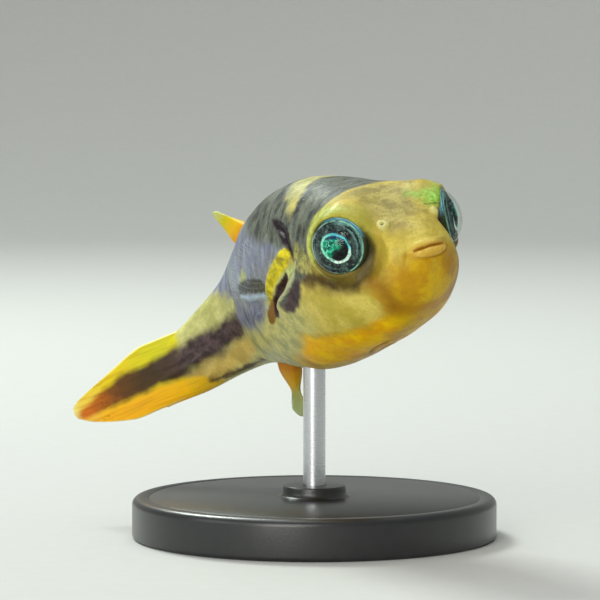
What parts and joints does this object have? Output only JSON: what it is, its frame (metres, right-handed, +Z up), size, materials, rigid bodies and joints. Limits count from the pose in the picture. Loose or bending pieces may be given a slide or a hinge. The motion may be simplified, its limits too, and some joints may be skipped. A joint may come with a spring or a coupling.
{
  "type": "dwarf freshwater pufferfish on a display stand",
  "caption": "Small round-bodied freshwater pufferfish swimming round a bend, eyes wide and tail turned to its right, held by a rod on a flat round stand.",
  "frame": {"origin": "centre of the underside of the stand's base", "axes": "+Z up; the head points towards -Y and half towards +X, and the tail bends towards -X"},
  "size_m": [0.0232, 0.0214, 0.0195],
  "materials": {
    "skin_head": "wet skin, olive gold above, amber under the chin, cream cheeks",
    "skin_body": "wet skin, slate saddles and side band on yellow and cream",
    "fin_yellow": "yellow membrane with fine rays",
    "fin_clear": "clear bluish membrane with fine rays",
    "eye": "glassy, dark iris with a pale mint ring round a teal pupil",
    "stand_base": "satin black lacquer on steel",
    "stand_rod": "fine brushed steel"
  },
  "bodies": {
    "root": {"head": "skin_head", "trunk": "skin_body", "tail_stalk": "skin_body", "tail_fin": "fin_yellow", "dorsal_fin": "fin_yellow", "anal_fin": "fin_yellow", "pectoral_fin_left": "fin_clear", "pectoral_fin_right": "fin_clear", "eye_left": "eye", "eye_right": "eye", "stand_base": "stand_base", "stand_rod": "stand_rod"}
  },
  "joints": []
}
